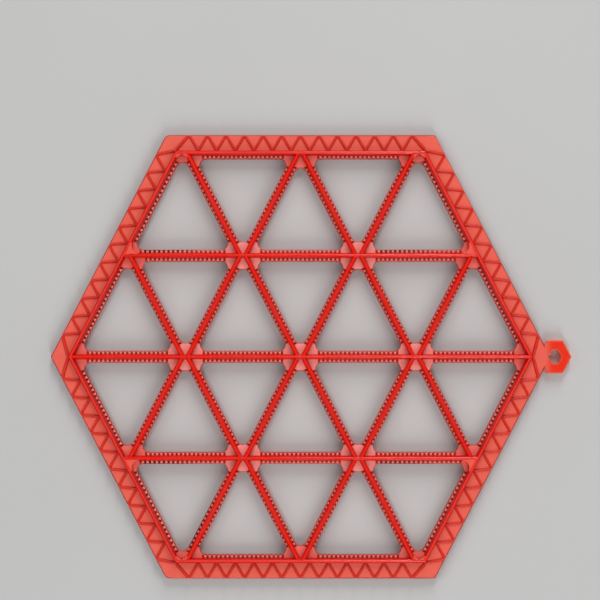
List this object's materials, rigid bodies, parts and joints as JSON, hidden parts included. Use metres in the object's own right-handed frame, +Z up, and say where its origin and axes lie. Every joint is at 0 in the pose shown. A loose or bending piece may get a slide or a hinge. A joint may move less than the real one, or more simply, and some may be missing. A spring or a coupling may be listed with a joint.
{
  "type": "samosa mold",
  "caption": "Flat hexagonal pastry mold with triangular cutting cells, toothed ridges, a zigzag rim and a hanging tab.",
  "frame": {"origin": "centre of the hexagon, on the plane that the mold's underside rests on", "axes": "+X towards the hanging tab, +Y across the hexagon, +Z up through the ridged side"},
  "size_m": [0.2806, 0.239, 0.0085],
  "materials": {
    "ridge_plastic": "satin moulded",
    "rim_plastic": "satin moulded",
    "web_plastic": "thin and slightly translucent, satin moulded",
    "tab_plastic": "satin moulded"
  },
  "bodies": {
    "root": {"border_wall_bottom": "ridge_plastic", "border_wall_lower_left": "ridge_plastic", "border_wall_lower_right": "ridge_plastic", "border_wall_top": "ridge_plastic", "border_wall_upper_left": "ridge_plastic", "border_wall_upper_right": "ridge_plastic", "border_web_bottom": "web_plastic", "border_web_lower_left": "web_plastic", "border_web_lower_right": "web_plastic", "border_web_top": "web_plastic", "border_web_upper_left": "web_plastic", "border_web_upper_right": "web_plastic", "corner_gusset_lower_left": "ridge_plastic", "corner_gusset_lower_right": "ridge_plastic", "corner_gusset_upper_left": "ridge_plastic", "corner_gusset_upper_right": "ridge_plastic", "cross_bar_1": "ridge_plastic", "cross_bar_2": "ridge_plastic", "cross_bar_3": "ridge_plastic", "hang_tab": "tab_plastic", "rim_bottom": "rim_plastic", "rim_lower_left": "rim_plastic", "rim_lower_right": "rim_plastic", "rim_top": "rim_plastic", "rim_upper_left": "rim_plastic", "rim_upper_right": "rim_plastic", "slanted_bar_1_1": "ridge_plastic", "slanted_bar_1_2": "ridge_plastic", "slanted_bar_1_3": "ridge_plastic", "slanted_bar_1_4": "ridge_plastic", "slanted_bar_2_1": "ridge_plastic", "slanted_bar_2_2": "ridge_plastic", "slanted_bar_2_3": "ridge_plastic", "slanted_bar_2_4": "ridge_plastic", "slanted_bar_2_5": "ridge_plastic", "slanted_bar_2_6": "ridge_plastic", "slanted_bar_3_1": "ridge_plastic", "slanted_bar_3_2": "ridge_plastic", "slanted_bar_3_3": "ridge_plastic", "slanted_bar_3_4": "ridge_plastic", "slanted_bar_3_5": "ridge_plastic", "slanted_bar_3_6": "ridge_plastic", "slanted_bar_4_1": "ridge_plastic", "slanted_bar_4_2": "ridge_plastic", "slanted_bar_4_3": "ridge_plastic", "slanted_bar_4_4": "ridge_plastic", "web_center": "web_plastic", "web_left": "web_plastic", "web_lower_left": "web_plastic", "web_lower_right": "web_plastic", "web_right": "web_plastic", "web_upper_left": "web_plastic", "web_upper_right": "web_plastic", "zigzag_bottom": "rim_plastic", "zigzag_lower_left": "rim_plastic", "zigzag_lower_right": "rim_plastic", "zigzag_top": "rim_plastic", "zigzag_upper_left": "rim_plastic", "zigzag_upper_right": "rim_plastic"}
  },
  "joints": []
}
